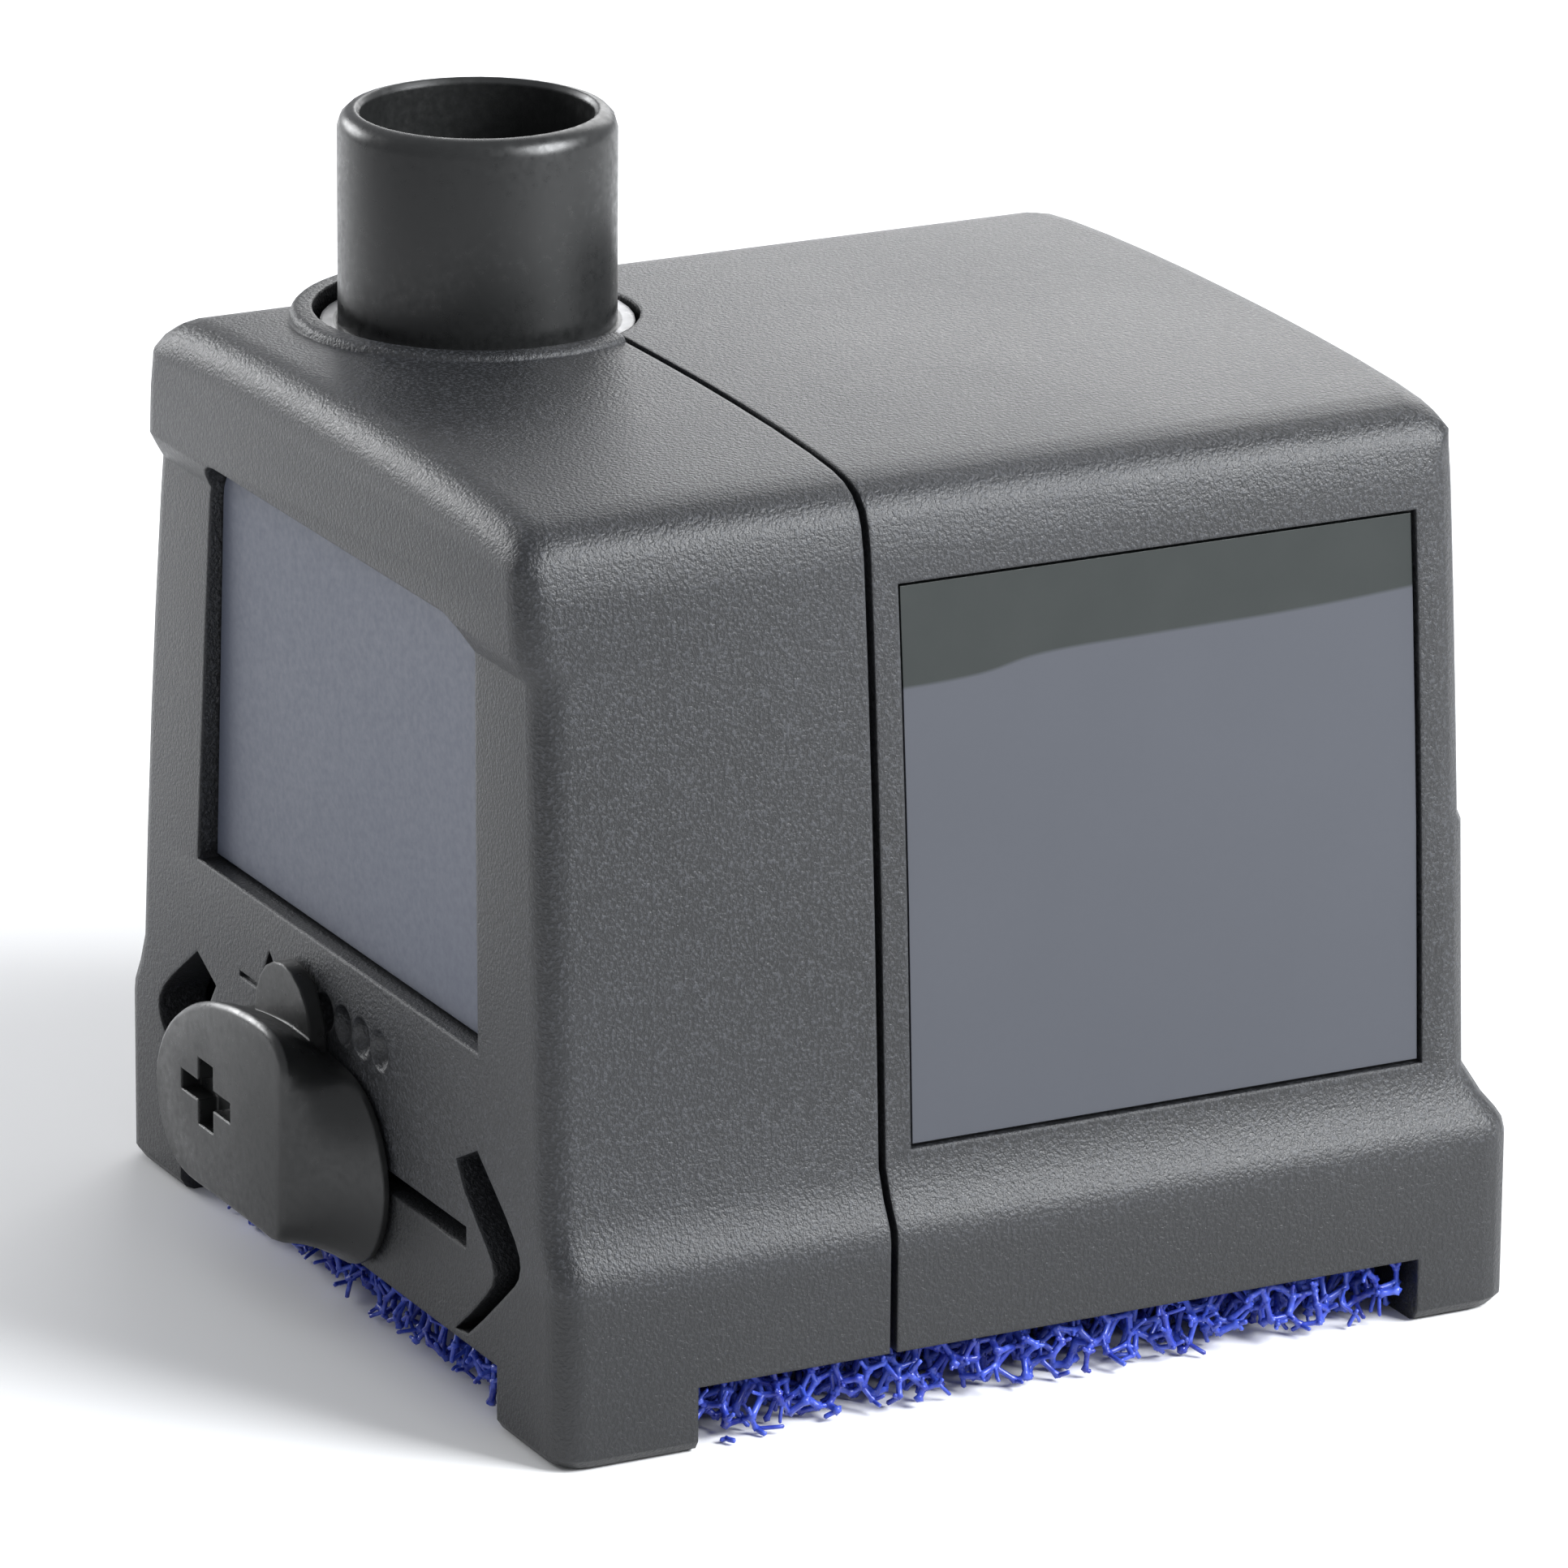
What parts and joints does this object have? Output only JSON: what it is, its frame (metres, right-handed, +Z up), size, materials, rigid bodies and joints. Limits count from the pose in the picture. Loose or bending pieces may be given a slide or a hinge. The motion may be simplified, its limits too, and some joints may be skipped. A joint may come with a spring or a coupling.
{
  "type": "fountain submersible pump",
  "caption": "Compact submersible fountain pump: boxy pull-off pump head with a sliding intake regulator, upright hose spigot, potted motor block, and a foam filter block between its feet.",
  "frame": {"origin": "middle of the bounding box at the level of the feet's undersides", "axes": "+Z up along the hose spigot, -Y the face with the regulator slide, +X the side with the label"},
  "size_m": [0.0746, 0.0838, 0.0839],
  "materials": {
    "shell": "spark-eroded black moulded plastic",
    "smooth": "smooth black moulded plastic",
    "plate": "satin grey plate, left bare",
    "label": "satin dark grey label blank",
    "foam": "open-cell blue filter foam",
    "rubber": "matte black elastomer",
    "inner": "plain dark moulded plastic",
    "resin": "cast black resin",
    "steel": "laminated electrical steel",
    "copper": "enamelled copper winding",
    "bobbin": "natural nylon",
    "magnet": "sintered ferrite",
    "ceramic": "polished white ceramic",
    "wheel": "plain black plastic",
    "screw": "stainless steel"
  },
  "bodies": {
    "motor_block": {"motor_housing": "shell", "rating_label_blank": "label", "cable_gland": "rubber", "rotor_well_plate": "inner", "well_seal_ring": "rubber", "shaft_bush_rear": "rubber", "rotor_shaft_ceramic": "ceramic", "stator_core": "steel", "coil_bobbin_left": "bobbin", "coil_winding_left": "copper", "coil_bobbin_right": "bobbin", "coil_winding_right": "copper", "potting_resin": "resin"},
    "rotor": {"rotor_magnet": "magnet", "rotor_sleeve": "wheel", "impeller_wheel": "wheel"},
    "pump_head": {"front_cover": "shell", "front_badge_plate": "plate", "volute_chamber": "inner", "chamber_screw_right": "screw", "chamber_screw_left": "screw", "chamber_screw_top": "screw", "shaft_bush_front": "rubber", "intake_grille": "inner"},
    "flow_regulator": {"flow_slide_knob": "smooth", "flow_shutter_plate": "inner"},
    "hose_spigot": {"outlet_hose_spigot": "smooth", "spigot_seal_ring": "rubber"},
    "foam_filter": {"foam_filter_block": "foam"}
  },
  "joints": [
    {"name": "rotor_spin", "type": "hinge", "parent": "motor_block", "child": "rotor", "pos_m": [0, 0, 0.033], "axis": [0, 1, 0], "continuous": true},
    {"name": "head_pull_off", "type": "slide", "parent": "motor_block", "child": "pump_head", "axis": [0, -1, 0], "range_m": [0, 0.065]},
    {"name": "flow_slide", "type": "slide", "parent": "pump_head", "child": "flow_regulator", "axis": [1, 0, 0], "range_m": [0, 0.016]},
    {"name": "spigot_pull_out", "type": "slide", "parent": "pump_head", "child": "hose_spigot", "axis": [0, 0, 1], "range_m": [0, 0.028]},
    {"name": "foam_drop_out", "type": "slide", "parent": "motor_block", "child": "foam_filter", "axis": [0, 0, -1], "range_m": [0, 0.015]}
  ]
}
